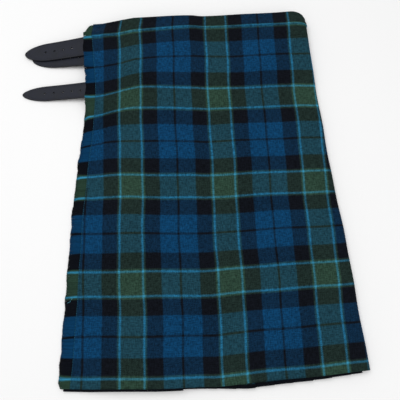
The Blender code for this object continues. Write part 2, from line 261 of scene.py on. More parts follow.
def pleat_height(beyond, at):
    """The underside of a pleat's face, this far beyond its outer fold."""
    slope = 2 * LAYER / (reveal(at) - PLEAT_FLAT)
    return slope * np.maximum(0.0, beyond - PLEAT_FLAT)


def band_lift(at):
    return LAYER * smooth((0.048 - at.drop) / 0.018)


def hip_lift(at, base):
    return HIP_LIFT * plateau(at.drop, HIP_TOP, base, HIP_TOP, HIP_FADE)


def lift(x, at, narrower=0.0):
    """How far the waistband and the buckles under the back raise it."""
    reach = HIP_REACH - narrower + HIP_SKIRT
    on_left = hip_lift(at, HIP_BASE_LEFT) * smooth((at.left + reach - x) / HIP_SKIRT)
    on_right = hip_lift(at, HIP_BASE_RIGHT) * smooth((x - at.right + reach) / HIP_SKIRT)
    return np.maximum(band_lift(at), np.maximum(on_left, on_right))


def spanned_lift(x, at):
    """The same for the panels above the back, which run straight across between the hips."""
    low = at.left + HIP_REACH + HIP_SPREAD
    high = at.right - HIP_REACH - HIP_SPREAD
    on_left, on_right = hip_lift(at, HIP_BASE_LEFT), hip_lift(at, HIP_BASE_RIGHT)
    return np.maximum(band_lift(at), on_left + (on_right - on_left) * smooth((x - low) / (high - low)))


def strap_lift(strap, x, at):
    """How far a strap's hidden root raises the layer on top of it."""
    across = smooth((at.left + ROOT_REACH + ROOT_SKIRT - x) / ROOT_SKIRT)
    return STRAP_ROOM * across * plateau(at.drop, strap.lift_from, strap.lift_to, STRAP_SKIRT)


def lower_half(x, at):
    """The middle of the under-apron's half that lies on the pleats' stack."""
    beyond = np.clip(x - seam(at), 0.0, reveal(at) + PLEAT_DEPTH)
    stack = pleat_height(beyond, at) + CLOTH + GAP + STACK_CLEARANCE
    return spanned_lift(x, at) + stack + CLOTH / 2


def upper_half(x, at):
    """The middle of the under-apron's half that carries its free edge."""
    return lower_half(x, at) + LAYER + strap_lift(STRAPS[2], x, at)


def apron_height(x, at):
    """The middle of the over-apron's cloth."""
    beside = smooth((x - under_fold(at) - BESIDE_FOLD) / BESIDE_SLOPE)
    on_under = upper_half(x, at) + LAYER
    straps = strap_lift(STRAPS[0], x, at) + strap_lift(STRAPS[1], x, at)
    return on_under + (lower_half(x, at) - on_under) * beside + straps


def half_turn(x, low, high, way, steps):
    """(x, z) round a fold between two heights, bulging the given way from x."""
    angles = np.linspace(-math.pi / 2, math.pi / 2, steps + 1)
    radius = (high - low) / 2
    return x + way * radius * np.cos(angles), low + radius + radius * np.sin(angles)


def cloth_run(x, z, start):
    """The distance along the cloth at each point, from a start."""
    return start + np.concatenate([[0.0], np.cumsum(np.hypot(np.diff(x), np.diff(z)))])


def over_apron_path(at, out=0.0):
    """x, z and warp place along the over-apron at one level, with its turn to the back."""
    edge = at.right - CLOTH / 2
    base = float(CLOTH / 2 + lift(edge, at))
    radius = (float(apron_height(edge, at)) - base) / 2
    turn = edge - radius
    top = np.linspace(at.left + at.fringe, turn, APRON_COLUMNS)
    round_x, round_z = half_turn(turn, base - out, base + 2 * radius + out, 1, TURN_STEPS)
    tail = np.linspace(turn, at.right - APRON_TAIL, 4)[1:]
    x = np.concatenate([top, round_x[::-1][1:], tail])
    z = np.concatenate([apron_height(top, at) + out, round_z[::-1][1:], np.full(3, base - out)])
    beyond = cloth_run(x[APRON_COLUMNS - 1:], z[APRON_COLUMNS - 1:], turn)
    warp = np.concatenate([top, beyond[1:]])
    return x, z, warp + WARP_EASE * smooth((x - 0.08) / 0.08)


def under_apron_path(at):
    """The same from the seam, up round the left fold, across, and back over itself."""
    fold_left = at.left + TUCK + CLOTH / 2
    fold_right = under_fold(at)
    tail = float(CLOTH / 2 + lift(at.left + TUCK, at))
    low = float(lower_half(fold_left, at))
    turn = fold_left + (low - tail) / 2
    left_x, left_z = half_turn(turn, tail, low, -1, 8)
    out = np.linspace(turn, fold_right, 60)[1:]
    right_z = float(lower_half(fold_right, at)), float(upper_half(fold_right, at))
    right_x, right_round = half_turn(fold_right, *right_z, 1, 6)
    back = np.linspace(fold_right, fold_left, 60)[1:]
    x = np.concatenate([[seam(at) - GAP], left_x, out, right_x[1:], back])
    z = np.concatenate([[tail], left_z, lower_half(out, at), right_round[1:], upper_half(back, at)])
    return x, z, cloth_run(x, z, -seam(at))


def pleated_path(at):
    """The same along the zigzag of the knife pleats, pleated to the sett: a whole repeat of the
    check is hidden in each, so that the check runs on unbroken across the pleats' faces."""
    width = reveal(at)
    start = at.right - SEAM_INSET
    farthest = at.right - INNER_FOLD_INSET
    bulge = 0.0005
    points = [(start, pleat_height(width, at), start)]
    for number in range(1, PLEATS + 1):
        fold = start - number * width
        inner = min(fold + PLEAT_DEPTH, farthest)
        returned = pleat_height(inner - fold, at) + LAYER
        onward = pleat_height(inner - fold + width, at)
        taken = (number - 1) * WARP_REPEAT
        hidden = WARP_REPEAT / 2
        points += [
            (fold + width * 0.6, pleat_height(width * 0.6, at), fold + width * 0.6 - taken),
            (fold + PLEAT_FLAT, 0.0, fold + PLEAT_FLAT - taken),
            (fold + bulge, 0.0, fold - taken),
            (fold, LAYER * 0.15, fold - taken),
            (fold, LAYER * 0.85, fold - taken),
            (fold + bulge, LAYER, fold - taken),
            (fold + PLEAT_FLAT, LAYER, fold - taken - hidden * PLEAT_FLAT / PLEAT_DEPTH),
            (inner - bulge, returned, fold - taken - hidden),
            (inner, returned * 0.7 + onward * 0.3, fold - taken - hidden),
            (inner - bulge, onward, fold - taken - hidden),
            (fold + width, pleat_height(width * 2, at), fold - number * WARP_REPEAT + width),
        ]
    taken = PLEATS * WARP_REPEAT
    points += [(seam(at) + PLEAT_FLAT, 0.0, seam(at) + PLEAT_FLAT - taken), (seam(at), 0.0, seam(at) - taken)]
    x, z, warp = np.array(points).T
    return x, z + CLOTH / 2 + lift(x, at), warp


def waistband_back_path(at):
    x = np.linspace(seam(at) + 0.002, at.right - APRON_TAIL - 0.002, 90)
    return x, lift(x, at, HIP_SPREAD) + CLOTH / 2 - LAYER, x


def crease_height(x, drop):
    """The height of the soft creases over flat cloth."""
    height = 0.0006 * np.sin(31 * x + 9 * drop + 1.0) * np.sin(17 * drop + 12 * x + 0.4)
    for crease in CREASES:
        along = np.array([crease.to_x - crease.x, crease.to_drop - crease.drop])
        length = np.hypot(*along)
        along = along / length
        run = (x - crease.x) * along[0] + (drop - crease.drop) * along[1]
        off = (x - crease.x) * along[1] - (drop - crease.drop) * along[0]
        off = off + 0.006 * np.sin(run * 38 + crease.x * 90)
        share = np.clip(run / length, 0, 1)
        ends = np.sin(math.pi * share) ** 0.7
        height = height + crease.height * ends * np.exp(-((off / crease.width) ** 2))
    return height


def settle(x, drop, z):
    """Cloth lies a little unevenly: where a point moves to in x, along the drop, and in z.

    What lies on the surface stays on it, and layers above each other move together.
    """
    share = np.clip(z / CREASED_FROM, 0.0, 1.3)
    aside = 0.0007 * np.sin(29 * drop + 8 * x) + 0.0004 * np.sin(71 * drop - 13 * x + 2.0)
    down = 0.0007 * np.sin(23 * x + 5 * drop + 0.7) + 0.0004 * np.sin(57 * x - 21 * drop)
    return x + aside, drop + down, z + share * crease_height(x, drop)


def kilt_origin():
    """The place in the frame of the kilt's centre line at its waist, from the solids' own boxes."""
    low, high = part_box("over_apron")
    hem = section(LENGTH)
    lowest = LENGTH + float(np.max(fall(np.linspace(hem.left + hem.fringe, hem.right, 400), hem)))
    return high[0] - hem.right, low[1] + lowest


ORIGIN_X, ORIGIN_Y = kilt_origin()


def placed(x, drop, z, at, rises_from=0.0):
    """World points of one cross row."""
    moved_x, moved_drop, moved_z = settle(x, drop, z)
    y = -(moved_drop + fall(x, at, rises_from))
    return np.column_stack([moved_x + ORIGIN_X, y + ORIGIN_Y, np.maximum(moved_z, CLOTH / 2)])


# ---- Materials ----


def linear(colour):
    """A colour of 0 to 255 as the shader takes it."""
    def channel(value):
        value = value / 255
        return value / 12.92 if value < 0.04045 else ((value + 0.055) / 1.055) ** 2.4
    return (*(channel(value) for value in colour), 1.0)


class Nodes:
    """Short calls for building a material's nodes."""

    def __init__(self, name):
        self.material = bpy.data.materials.new(name)
        self.material.use_nodes = True
        self.tree = self.material.node_tree
        self.shader = self.tree.nodes["Principled BSDF"]

    def join(self, value, socket):
        if isinstance(value, bpy.types.NodeSocket):
            self.tree.links.new(value, socket)
        else:
            socket.default_value = value

    def math(self, operation, *values):
        node = self.tree.nodes.new("ShaderNodeMath")
        node.operation = operation
        for value, socket in zip(values, node.inputs):
            self.join(value, socket)
        return node.outputs[0]

    def mix(self, share, first, second, blend="MIX"):
        node = self.tree.nodes.new("ShaderNodeMix")
        node.data_type = "RGBA"
        node.blend_type = blend
        self.join(share, node.inputs["Factor"])
        self.join(first, node.inputs[6])
        self.join(second, node.inputs[7])
        return node.outputs[2]

    def place(self, name):
        """The two values of a UV map."""
        node = self.tree.nodes.new("ShaderNodeUVMap")
        node.uv_map = name
        parts = self.tree.nodes.new("ShaderNodeSeparateXYZ")
        self.tree.links.new(node.outputs[0], parts.inputs[0])
        return parts.outputs[0], parts.outputs[1]

    def vector(self, x, y, z=0.0):
        node = self.tree.nodes.new("ShaderNodeCombineXYZ")
        for value, socket in zip((x, y, z), node.inputs):
            self.join(value, socket)
        return node.outputs[0]

    def noise(self, place, scale, detail=2.0):
        node = self.tree.nodes.new("ShaderNodeTexNoise")
        self.join(place, node.inputs["Vector"])
        node.inputs["Scale"].default_value = scale
        node.inputs["Detail"].default_value = detail
        return node.outputs["Fac"]

    def spread(self, value, low, high, to_low, to_high):
        node = self.tree.nodes.new("ShaderNodeMapRange")
        node.interpolation_type = "SMOOTHSTEP"
        for entry, socket in zip((value, low, high, to_low, to_high), node.inputs):
            self.join(entry, socket)
        return node.outputs[0]

    def bump(self, height, distance, strength=1.0):
        node = self.tree.nodes.new("ShaderNodeBump")
        node.inputs["Strength"].default_value = strength
        node.inputs["Distance"].default_value = distance
        self.join(height, node.inputs["Height"])
        self.join(node.outputs[0], self.shader.inputs["Normal"])

    def finish(self, **values):
        for name, value in values.items():
            self.join(value, self.shader.inputs[name.replace("_", " ")])
        return self.material


def root_of(yarn):
    return tuple(math.sqrt(channel) for channel in linear(YARNS[yarn]))


def stripes(nodes, place, green, repeat):
    """The square root of the yarn's colour at a place across the stripes, by its distance from the
    middle of the green. Yarns that cross are mixed at this root, where dark ones weigh more."""
    turn = nodes.math("DIVIDE", nodes.math("SUBTRACT", place, green - repeat / 2), repeat)
    offset = nodes.math("ABSOLUTE", nodes.math("SUBTRACT", nodes.math("FRACT", turn), 0.5))
    ramp = nodes.tree.nodes.new("ShaderNodeValToRGB")
    nodes.join(nodes.math("MULTIPLY", offset, 2.0), ramp.inputs[0])
    half = WEFT_REPEAT / 2
    stops = [(0.0, SETT[0][0])]
    for (name, end), (onward, _) in zip(SETT, SETT[1:]):
        stops += [((end - STRIPE_BLUR) / half, name), ((end + STRIPE_BLUR) / half, onward)]
    elements = ramp.color_ramp.elements
    elements[0].position = stops[0][0]
    elements[0].color = root_of(stops[0][1])
    elements[1].position = stops[-1][0]
    elements[1].color = root_of(stops[-1][1])
    for position, name in stops[1:-1]:
        elements.new(position).color = root_of(name)
    return ramp.outputs[0]


def tartan(name, shade=1.0, weft_from=None, shaded_hem_from=None):
    """Twill in the check. weft_from holds a strip's weft at one place of its stripes, down to its lower edge,
    and the last argument is where a band of painted shade, drawn as black weft, begins along the hem."""
    nodes = Nodes(name)
    warp_place, weft_place = nodes.place("cloth")
    warp = stripes(nodes, warp_place, WARP_GREEN, WARP_REPEAT)
    across = weft_place
    if weft_from is not None:
        past = nodes.math("GREATER_THAN", weft_place, WAISTBAND - BAND_EDGE)
        onward = nodes.math("SUBTRACT", weft_place, weft_from)
        across = nodes.math("MULTIPLY_ADD", past, onward, weft_from)
    weft = stripes(nodes, across, WEFT_GREEN, WEFT_REPEAT)
    wale = nodes.math("DIVIDE", nodes.math("ADD", warp_place, weft_place), TWILL_REPEAT)
    wave = nodes.math("SINE", nodes.math("MULTIPLY", wale, 2 * math.pi))
    on_top = nodes.math("MULTIPLY_ADD", wave, TWILL_SHARE, 0.5)
    colour = nodes.mix(on_top, weft, warp)
    colour = nodes.mix(1.0, colour, colour, "MULTIPLY")
    # Painted shade along the hem: the cloth turns to black weft over its last few millimetres
    if shaded_hem_from is not None:
        edge = nodes.spread(weft_place, shaded_hem_from - 0.001, shaded_hem_from + 0.001, 0.0, 1.0)
        colour = nodes.mix(edge, colour, linear(YARNS["black"]))
    flat = nodes.vector(warp_place, weft_place)
    along_warp = nodes.noise(nodes.vector(nodes.math("MULTIPLY", warp_place, 5.0), weft_place), 140, 4)
    along_weft = nodes.noise(nodes.vector(warp_place, nodes.math("MULTIPLY", weft_place, 5.0)), 140, 4)
    streaks = nodes.math("ADD", along_warp, along_weft)
    patches = nodes.noise(flat, 11, 3)
    grain = nodes.spread(streaks, 0.7, 1.3, 0.56, 1.44)
    tone = nodes.math("ADD", grain, nodes.spread(patches, 0.3, 0.7, -0.07, 0.07))
    # shade darkens the whole panel: painted shade for cloth that lies under the over-apron
    tone = nodes.math("MULTIPLY", tone, shade)
    colour = nodes.mix(1.0, colour, nodes.vector(tone, tone, tone), "MULTIPLY")
    fuzz = nodes.noise(flat, 1600, 2)
    wales = nodes.math("MULTIPLY", wave, 0.5)
    nodes.bump(nodes.math("ADD", wales, nodes.math("MULTIPLY", fuzz, 0.6)), TWILL_RELIEF)
    rough = nodes.spread(fuzz, 0.3, 0.7, 0.82, 0.98)
    return nodes.finish(Base_Color=colour, Roughness=rough, Specular_IOR_Level=0.05, Sheen_Weight=0.01)


def yarn_material(name, colour=None):
    """Loose yarn: the weft's own stripes, or one colour, with uneven tone along each strand."""
    nodes = Nodes(name)
    strand, weft_place = nodes.place("cloth")
    if colour is None:
        base = stripes(nodes, weft_place, WEFT_GREEN, WEFT_REPEAT)
        base = nodes.mix(1.0, base, base, "MULTIPLY")
    else:
        base = linear(colour)
    uneven = nodes.noise(nodes.vector(strand, nodes.math("MULTIPLY", weft_place, 9.0)), 160, 3)
    tone = nodes.spread(uneven, 0.3, 0.7, 0.70, 1.25)
    base = nodes.mix(1.0, base, nodes.vector(tone, tone, tone), "MULTIPLY")
    nodes.bump(nodes.noise(nodes.vector(strand, weft_place), 1500, 2), 0.0002)
    return nodes.finish(Base_Color=base, Roughness=0.95, Specular_IOR_Level=0.05, Sheen_Weight=0.01)


def leather_material(name, width, length, taper=1.0, tip=0.006):
    """Smooth dark leather: fine grain, a near-black painted edge and a creased line inside it."""
    nodes = Nodes(name)
    along, across = nodes.place("strap")
    half = nodes.math("MULTIPLY_ADD", along, -(1 - taper) * width / 2 / length, width / 2)
    aside = nodes.math("DIVIDE", nodes.math("ABSOLUTE", across), half)
    past = nodes.math("SUBTRACT", along, length - tip)
    onward = nodes.math("MAXIMUM", nodes.math("DIVIDE", past, tip), 0.0)
    squares = nodes.math("ADD", nodes.math("POWER", aside, 2.0), nodes.math("POWER", onward, 2.0))
    reach = nodes.math("SQRT", squares)
    inside = nodes.math("MULTIPLY", nodes.math("SUBTRACT", 1.0, reach), half)
    flat = nodes.vector(along, across)
    grain = nodes.tree.nodes.new("ShaderNodeTexVoronoi")
    nodes.join(flat, grain.inputs["Vector"])
    grain.inputs["Scale"].default_value = 1100
    mottle = nodes.noise(flat, 60, 4)
    base = nodes.mix(nodes.spread(mottle, 0.3, 0.7, 0.0, 1.0), linear((24, 27, 36)), linear((31, 34, 45)))
    edge = nodes.spread(inside, 0.0006, 0.0017, 1.0, 0.0)
    base = nodes.mix(nodes.math("MULTIPLY", edge, 0.85), base, linear((17, 18, 23)))
    off_line = nodes.math("ABSOLUTE", nodes.math("SUBTRACT", inside, 0.0030))
    line = nodes.spread(off_line, 0.0, 0.0006, 1.0, 0.0)
    base = nodes.mix(nodes.math("MULTIPLY", line, 0.35), base, linear((24, 25, 31)))
    height = nodes.math("MULTIPLY_ADD", grain.outputs["Distance"], 0.25, nodes.math("MULTIPLY", mottle, 0.5))
    nodes.bump(nodes.math("SUBTRACT", height, nodes.math("MULTIPLY", line, 1.2)), 0.00025)
    rough = nodes.spread(mottle, 0.3, 0.7, 0.46, 0.62)
    return nodes.finish(Base_Color=base, Roughness=rough, Specular_IOR_Level=0.22)


def steel_material(name):
    """Satin steel, brushed along the frame and a little worn."""
    nodes = Nodes(name)
    along, across = nodes.place("strap")
    brushed = nodes.noise(nodes.vector(along, nodes.math("MULTIPLY", across, 30.0)), 300, 3)
    worn = nodes.noise(nodes.vector(along, across), 90, 3)
    wear = nodes.spread(worn, 0.35, 0.7, 0.0, 1.0)
    base = nodes.mix(wear, linear((206, 204, 198)), linear((170, 167, 160)))
    nodes.bump(brushed, 0.00008)
    rough = nodes.spread(brushed, 0.3, 0.7, 0.22, 0.38)
    return nodes.finish(Base_Color=base, Roughness=rough, Metallic=1.0)


# ---- Building ----


def add(name, mesh, material, nodes):
    """A piece of the kilt, which stands for its solid."""
    made = bpy.data.objects.new(name, mesh)
    mesh.materials.append(material)
    bpy.context.scene.collection.objects.link(made)
    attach(made, "root")
    if nodes:
        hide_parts(*nodes)
    return made


def map_places(mesh, name, places):
    """A UV map that holds each point's place in metres."""
    layer = mesh.uv_layers.new(name=name)
    corners = np.empty(len(mesh.loops), dtype=np.int32)
    mesh.loops.foreach_get("vertex_index", corners)
    layer.data.foreach_set("uv", np.asarray(places, dtype=np.float32)[corners].ravel())


def cloth(name, path, drops, material, rises_from=0.0, lean=None, roll=0.0):
    """A panel through its paths at each level: a grid of quads, made a thin shell.

    With a roll, the first row turns down over the waist edge by that much.
    """
    points, places = [], []
    for drop in drops:
        at = section(drop)
        x, z, warp = path(at)
        if roll and drop == drops[0]:
            rolled = placed(x, drop - roll, z - LAYER, at, rises_from)
            points.append(rolled)
            places.append(np.column_stack([warp, np.full_like(x, drop - 2 * roll)]))
        points.append(placed(x, drop, z, at, rises_from))
        if lean is not None:
            warp = warp + lean(x) * (drop - WAISTBAND)
        places.append(np.column_stack([warp, np.full_like(x, drop)]))
    count = len(points[0])
    corner = np.arange((len(points) - 1) * count).reshape(-1, count)[:, :-1].ravel()
    faces = np.column_stack([corner, corner + count, corner + count + 1, corner + 1])
    mesh = bpy.data.meshes.new(name)
    mesh.from_pydata(np.concatenate(points).tolist(), [], faces.tolist())
    map_places(mesh, "cloth", np.concatenate(places))
    mesh.shade_smooth()
    made = add(name + "_cloth", mesh, material, [name])
    solidify = made.modifiers.new("Thickness", "SOLIDIFY")
    solidify.thickness = CLOTH
    solidify.offset = 0.0
    return made


def cut_widths():
    """The widths the three panels are cut to, from the pattern's sizes halfway down the cloth."""
    at = section(LENGTH / 2)
    over = at.right - at.left - at.fringe + APRON_TAIL
    under = SEAM_INSET + 2 * HALF_APRON
    back = (PLEATS + 1) * float(reveal(at)) + 2 * PLEATS * PLEAT_DEPTH
    return float(over), under, back


def strand_points(path, radius, sides):
    """Rings of a thin yarn along its path, narrowing to its tip, as points."""
    rings = []
    angles = np.arange(sides) * 2 * math.pi / sides
    path = np.asarray(path)
    directions = np.gradient(path, axis=0)
    for number, (point, direction) in enumerate(zip(path, directions)):
        direction = direction / (np.linalg.norm(direction) + 1e-9)
        aside = np.cross(direction, (0.0, 0.0, 1.0))
        aside = aside / (np.linalg.norm(aside) + 1e-9)
        up = np.cross(aside, direction)
        size = radius * (1.0 - 0.4 * (number / (len(path) - 1)) ** 2)
        rings.append(point + size * (np.outer(np.cos(angles), aside) + np.outer(np.sin(angles), up)))
    return np.concatenate(rings)


def strands(name, paths, places, radius, material, nodes, sides=4):
    """Many thin yarns as one mesh, each a closed tube."""
    points, faces, spots = [], [], []
    start = 0
    for path, place in zip(paths, places):
        rings = len(path)
        points.append(strand_points(path, radius, sides))
        spots.append(np.tile(place, (rings * sides, 1)))
        for ring in range(rings - 1):
            for side in range(sides):
                onward = (side + 1) % sides
                near, far = start + ring * sides, start + (ring + 1) * sides
                faces.append((near + side, near + onward, far + onward, far + side))
        faces.append(tuple(start + side for side in range(sides))[::-1])
        faces.append(tuple(start + (rings - 1) * sides + side for side in range(sides)))
        start += rings * sides
    mesh = bpy.data.meshes.new(name)
    mesh.from_pydata(np.concatenate(points).tolist(), [], faces)
    map_places(mesh, "cloth", np.concatenate(spots))
    mesh.shade_smooth()
    return add(name, mesh, material, nodes)


def tuft(drop):
    """The share of the fringe's reach at a level: its two ends are rounded."""
    top = min(1.0, (drop + 0.001) / TUFT_TOP)
    hem = min(1.0, (LENGTH - drop + 0.003) / TUFT_HEM)
    return math.sqrt(max(0.0, 1 - (1 - top) ** 2)) * math.sqrt(max(0.0, 1 - (1 - hem) ** 2))


FRINGE_LAYERS = 3
FRINGE_PITCH = 0.00062
FRINGE_YARN = 0.00052
FRINGE_STEPS = 6


def build_fringe():
    """The over-apron's frayed edge: weft yarns in layers, combed a little unevenly."""
    paths, places = [], []
    for layer in range(FRINGE_LAYERS):
        drop = 0.0008
        while drop < LENGTH - 0.0005:
            at = section(drop)
            reach = at.fringe * tuft(drop) * random.uniform(0.97, 1.02) + 0.0012
            reach *= 1 + 0.05 * math.sin(drop * 173) * math.sin(drop * 29 + 0.4)
            comb = 0.07 * math.sin(drop * 210 + layer) + 0.05 * math.sin(drop * 517 + 2)
            comb += random.gauss(0, 0.015)
            inner = at.left + at.fringe + 0.0012
            held = max(float(plateau(drop, s.lift_from, s.lift_to, STRAP_SKIRT)) for s in STRAPS)
            path = []
            for step in range(FRINGE_STEPS):
                share = step / (FRINGE_STEPS - 1)
                x = inner - share * reach
                sway = comb * share**1.5 * reach + random.gauss(0, 0.00012)
                height = float(apron_height(x, at))
                droop = float(smooth((at.left + TUCK - 3 * GAP - x) / TUCK)) * (1 - held)
                z = height + (CLOTH / 2 + 0.0002 - height) * droop
                z += (layer - 1) * 0.0003 + random.gauss(0, 0.00008)
                path.append(placed(np.array([x]), drop + sway, np.array([z]), at)[0])
            paths.append(path)
            places.append((random.uniform(0, 0.2), drop))
            drop += FRINGE_PITCH * random.uniform(0.8, 1.2)
    return strands("fringe_yarns", paths, places, FRINGE_YARN, yarn_material("frayed yarn"),
                   ["fringe"])


STITCH = 0.0024
STITCH_PITCH = 0.0034


def build_edge_stitches():
    """The line of pale stitches that stops the over-apron's free edge fraying further."""
    paths, places = [], []
    for drop in np.arange(0.028, LENGTH - 0.004, STITCH_PITCH):
        path = []
        for share in np.linspace(0.0, 1.0, 4):
            at = section(drop + share * STITCH)
            x = np.array([at.left + at.fringe + 0.0011])
            z = apron_height(x, at) + CLOTH / 2 + 0.0002 * math.sin(math.pi * share) - 0.00005
            path.append(placed(x, at.drop, z, at)[0])
        paths.append(path)
        places.append((0.0, drop))
    return strands("edge_stitches", paths, places, 0.00032, yarn_material("edge thread", (40, 98, 120)),
                   [])


LOOSE_THREADS = ((0.4790, 0.0115, 0.010), (0.4830, 0.0090, 0.008))


def build_loose_threads():
    """A few pale yarns that hang out of the fringe."""
    paths, places = [], []
    for drop, reach, length in LOOSE_THREADS:
        path = []
        for share in np.linspace(0.0, 1.0, 8):
            at = section(drop + share * length * 0.6)
            x = np.array([at.left + reach - share * length * 0.7 + 0.001 * math.sin(share * 7)])
            inside = np.maximum(x, at.left + 0.002)
            z = apron_height(inside, at) * (1 - 0.8 * share) + 0.0012 * (1 - share) + 0.0008
            path.append(placed(x, at.drop, z, at)[0])
        paths.append(path)
        places.append((0.0, drop))
    return strands("loose_threads", paths, places, 0.0004, yarn_material("loose yarn", (80, 150, 170)),
                   [])


def arc(centre, radius, start, end, steps):
    """Points round part of a circle, angles in degrees."""
    angles = np.radians(np.linspace(start, end, steps + 1))
    return [(centre[0] + radius * math.cos(a), centre[1] + radius * math.sin(a)) for a in angles]


def rounded_box(x0, x1, half, radius):
    """A rectangle about y = 0 with round corners."""
    corners = ((x1 - radius, half - radius, 0), (x0 + radius, half - radius, 90),
               (x0 + radius, radius - half, 180), (x1 - radius, radius - half, 270))
    return [p for x, y, a in corners for p in arc((x, y), radius, a, a + 90, 6)]


def flat_mesh(name, outlines, thickness, edge):
    """A flat piece with rounded edges: the first outline is its edge and the others are holes."""
    curve = bpy.data.curves.new(name, "CURVE")
    curve.dimensions = "2D"
    curve.fill_mode = "BOTH"
    curve.extrude = thickness / 2 - edge
    curve.bevel_depth = edge
    curve.bevel_resolution = 2
    curve.offset = -edge
    for points in outlines:
        spline = curve.splines.new("POLY")
        spline.points.add(len(points) - 1)
        for point, (x, y) in zip(spline.points, points):
            point.co = (x, y, 0, 1)
        spline.use_cyclic_u = True
    guide = bpy.data.objects.new(name + "_outline", curve)
    bpy.context.scene.collection.objects.link(guide)
    evaluated = guide.evaluated_get(bpy.context.evaluated_depsgraph_get())
    mesh = bpy.data.meshes.new_from_object(evaluated)
    bpy.data.objects.remove(guide)
    mesh.name = name
    mesh.materials.clear()
    return mesh


def strap_half(strap, along, length):
    """Half the strap's width, which narrows a little toward the tip."""
    return strap.width / 2 * (1 - (1 - STRAP_TAPER) * along / length)


def strap_outline(strap, length):
    """The strap along +X from its root, with a long rounded point."""
    shoulder = length - TIP_LENGTH
    side = [(0.0, strap_half(strap, 0.0, length))]
    for angle in np.linspace(math.pi / 2, 0.0, TIP_STEPS + 1):
        along = shoulder + TIP_LENGTH * math.cos(angle)
        half = strap_half(strap, along, length) * math.sin(angle) ** TIP_FULLNESS
        side.append((along, half))
    return [(x, -y) for x, y in side[:-1]] + side[::-1]


def strap_height(strap, x):
    """The middle of the strap's leather at a place across the kilt."""
    at = section(strap.drop)
    own_layer = upper_half if strap.name == "strap_under" else apron_height
    sunk = CLOTH / 2 + STRAP_CLEARANCE + LEATHER / 2
    if x >= at.left:
        return float(own_layer(x, at)) - sunk
    share = min((at.left - x) / (at.left - strap.tip_x), 1.0)
    start = float(own_layer(at.left, at)) - sunk
    return strap.tip_height + (start - strap.tip_height) * (1 - share) ** 1.6


def build_strap(strap):
    """A leather strap, punched along its middle, bent down from the cloth to the surface."""
    at = section(strap.drop)
    length = at.left + ROOT_LENGTH - strap.tip_x
    centres = [length - strap.first_hole - number * HOLE_PITCH for number in range(strap.holes)]
    holes = [arc((x, 0), HOLE_RADIUS, 0, 345, 23) for x in centres]
    mesh = flat_mesh(strap.name, [strap_outline(strap, length)] + holes, LEATHER, LEATHER_EDGE)
    shaped = bmesh.new()
    shaped.from_mesh(mesh)
    bmesh.ops.remove_doubles(shaped, verts=shaped.verts, dist=0.00001)
    for station in range(1, STRAP_STATIONS):
        everything = shaped.verts[:] + shaped.edges[:] + shaped.faces[:]
        place = (length * station / STRAP_STATIONS, 0, 0)
        bmesh.ops.bisect_plane(shaped, geom=everything, plane_co=place, plane_no=(1, 0, 0), dist=0.00001)
    flat_map = shaped.loops.layers.uv.new("strap")
    for face in shaped.faces:
        for loop in face.loops:
            loop[flat_map].uv = (loop.vert.co.x, loop.vert.co.y)
    tilt = math.radians(strap.tilt)
    pivot = Vector((at.left, -(strap.drop + float(fall(at.left, at)))))
    for vertex in shaped.verts:
        along = vertex.co.x - ROOT_LENGTH
        x = pivot.x - along * math.cos(tilt) - vertex.co.y * math.sin(tilt)
        y = pivot.y - along * math.sin(tilt) + vertex.co.y * math.cos(tilt)
        z = vertex.co.z + strap_height(strap, at.left - along)
        vertex.co = (x + ORIGIN_X, y + ORIGIN_Y, max(z, 0.0))
    bmesh.ops.recalc_face_normals(shaped, faces=shaped.faces)
    shaped.to_mesh(mesh)
    shaped.free()
    mesh.shade_smooth()
    mesh.set_sharp_from_angle(angle=math.radians(50))
    material = leather_material(strap.name + " leather", strap.width, length, STRAP_TAPER, TIP_LENGTH)
    return add(strap.name + "_leather", mesh, material, [strap.name])


def lay_flat(mesh, spot, turned):
    """Gives a flat piece its map and lays it in its place, turned end for end if asked."""
    layer = mesh.uv_layers.new(name="strap")
    for loop, entry in zip(mesh.loops, layer.data):
        entry.uv = mesh.vertices[loop.vertex_index].co.xy
    way = -1 if turned else 1
    for vertex in mesh.vertices:
        vertex.co = (spot[0] + way * vertex.co.x, spot[1] + way * vertex.co.y, spot[2] + vertex.co.z)
    mesh.shade_smooth()
    mesh.set_sharp_from_angle(angle=math.radians(50))


def build_buckle(buckle, steel):
    """A buckle lying on its face: frame with a bar, prong across its window, and leather tab."""
    at = section(buckle.drop)
    turned = buckle.side > 0
    outer = at.right - BUCKLE_INSET if turned else at.left + BUCKLE_INSET
    y = -(buckle.drop + float(fall(outer, at, BACK_RISES_FROM)))
    spot_x, spot_y = outer + ORIGIN_X, y + ORIGIN_Y
    half = FRAME_LENGTH / 2
    inside = FRAME_WIDTH / 2 - FRAME_BAR
    bar = half - 2.4 * FRAME_BAR
    window = rounded_box(-half + FRAME_BAR, bar, inside, 0.0025)
    slot = rounded_box(bar + FRAME_BAR * 0.7, half - FRAME_BAR * 0.6, inside, 0.0010)
    bottom = PRONG_THICKNESS + GAP

    def piece(kind, shape, thickness, low, edge, material):
        node = f"{buckle.name}_{kind}"
        mesh = flat_mesh(node, shape, thickness, edge)
        lay_flat(mesh, (spot_x, spot_y, low + thickness / 2), turned)
        return add(node + "_piece", mesh, material, [node])

    outline = [rounded_box(-half, half, FRAME_WIDTH / 2, FRAME_CORNER), window, slot]
    piece("frame", outline, FRAME_THICKNESS, bottom, 0.0008, steel)
    prong = [rounded_box(-half - 0.0008, bar, PRONG_WIDTH / 2, 0.0012)]
    piece("prong", prong, PRONG_THICKNESS, 0.0, 0.0005, steel)
    tab_start = half + GAP
    tab = [rounded_box(tab_start, tab_start + TAB_LENGTH, TAB_WIDTH / 2, 0.0040)]
    leather = leather_material(f"{buckle.name} leather", TAB_WIDTH, tab_start + TAB_LENGTH + 0.004)
    piece("tab", tab, LEATHER, bottom, LEATHER_EDGE, leather)
    return (spot_x, spot_y, bottom, -1 if turned else 1, tab_start)


